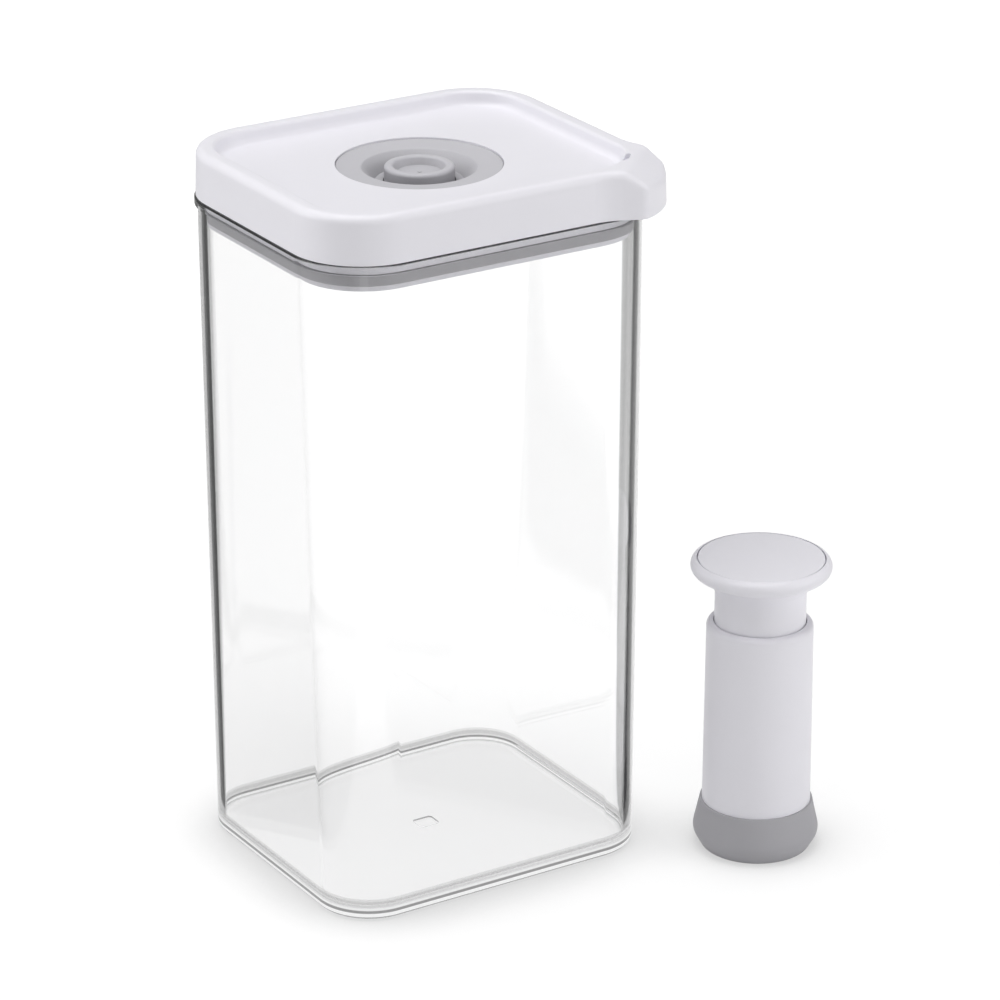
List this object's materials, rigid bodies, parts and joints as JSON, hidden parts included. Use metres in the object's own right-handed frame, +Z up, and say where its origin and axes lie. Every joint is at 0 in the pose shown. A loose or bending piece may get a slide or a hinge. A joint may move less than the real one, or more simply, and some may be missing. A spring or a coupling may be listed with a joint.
{
  "type": "vacuum seal canister",
  "caption": "Clear rectangular food canister with a white sealing lid, a central air release valve and a separate hand pump that draws the air out through the lid.",
  "frame": {"origin": "middle of the container's flat underside, on the surface it stands on", "axes": "+Z up along the container's height, +X to the right along the wide front face, +Y to the back"},
  "size_m": [0.1676, 0.1361, 0.229],
  "materials": {
    "clear_plastic": "clear glossy moulded plastic",
    "white_plastic": "white plastic, fine satin gloss",
    "grey_silicone": "matt grey silicone",
    "grey_rubber": "matt grey rubber",
    "steel": "plain stainless steel"
  },
  "bodies": {
    "container": {"container": "clear_plastic"},
    "lid": {"lid_cover": "white_plastic", "lid_plug": "white_plastic", "lid_gasket": "grey_silicone", "valve_ring": "grey_silicone", "check_flap": "grey_silicone", "flap_retainer": "white_plastic", "valve_guard": "white_plastic", "valve_spring": "steel"},
    "button": {"valve_button": "grey_silicone", "valve_stem": "white_plastic", "release_poppet": "white_plastic", "poppet_seal": "grey_silicone", "stem_clip": "steel"},
    "pump": {"suction_cup": "grey_rubber", "pump_barrel": "white_plastic", "inlet_plate": "white_plastic", "inlet_flap": "grey_silicone", "guide_sleeve": "white_plastic"},
    "plunger": {"plunger_tube": "white_plastic", "piston_head": "white_plastic", "piston_seal": "grey_silicone", "exhaust_flap": "grey_silicone", "knob": "white_plastic", "knob_cap": "white_plastic", "knob_screw": "steel"}
  },
  "joints": [
    {"name": "lid_lift", "type": "slide", "parent": "container", "child": "lid", "axis": [0, 0, 1], "range_m": [0, 0.15]},
    {"name": "button_press", "type": "slide", "parent": "lid", "child": "button", "axis": [0, 0, -1], "range_m": [0, 0.002], "stiffness_N_per_m": 700, "springref_m": -0.003, "deforming": ["valve_spring"]},
    {"name": "pump_lift", "type": "slide", "parent": "container", "child": "pump", "axis": [0, 0, 1], "range_m": [0, 0.25]},
    {"name": "plunger_stroke", "type": "slide", "parent": "pump", "child": "plunger", "axis": [0, 0, 1], "range_m": [0, 0.046]}
  ]
}
